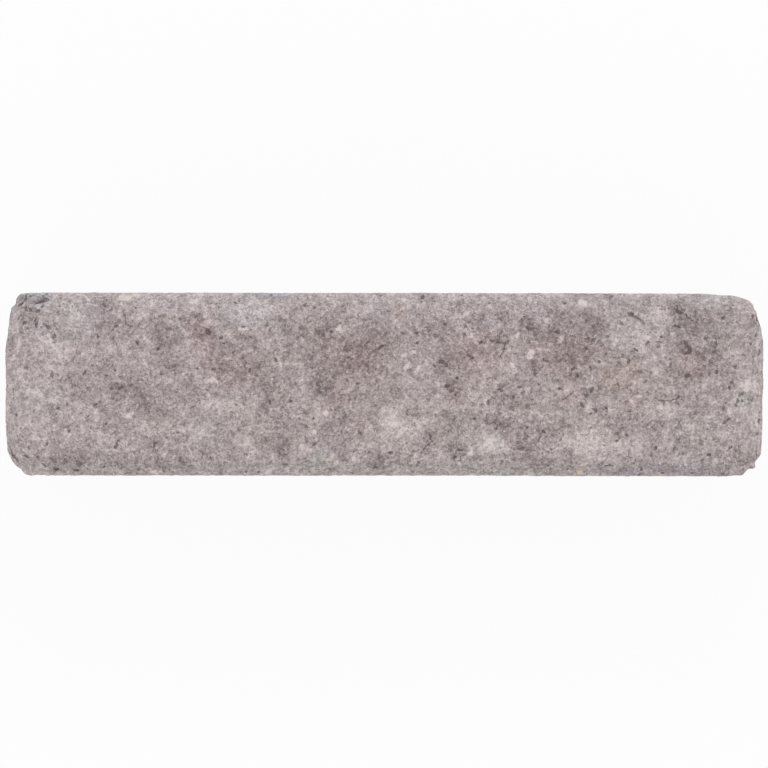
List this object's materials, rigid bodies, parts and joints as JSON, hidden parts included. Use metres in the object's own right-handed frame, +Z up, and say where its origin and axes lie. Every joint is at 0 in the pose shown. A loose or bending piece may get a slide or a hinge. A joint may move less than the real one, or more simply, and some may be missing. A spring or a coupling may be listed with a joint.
{
  "type": "tumbled concrete paver",
  "caption": "Long narrow tumbled concrete paver, grey-mauve, with battered edges and worn corners.",
  "frame": {"origin": "middle of the bed face, at the level it rests on", "axes": "+X along the length, +Y across the width to the back face, +Z up to the wear face"},
  "size_m": [0.199, 0.048, 0.06],
  "materials": {
    "concrete": "rough"
  },
  "bodies": {
    "root": {"paver": "concrete"}
  },
  "joints": []
}
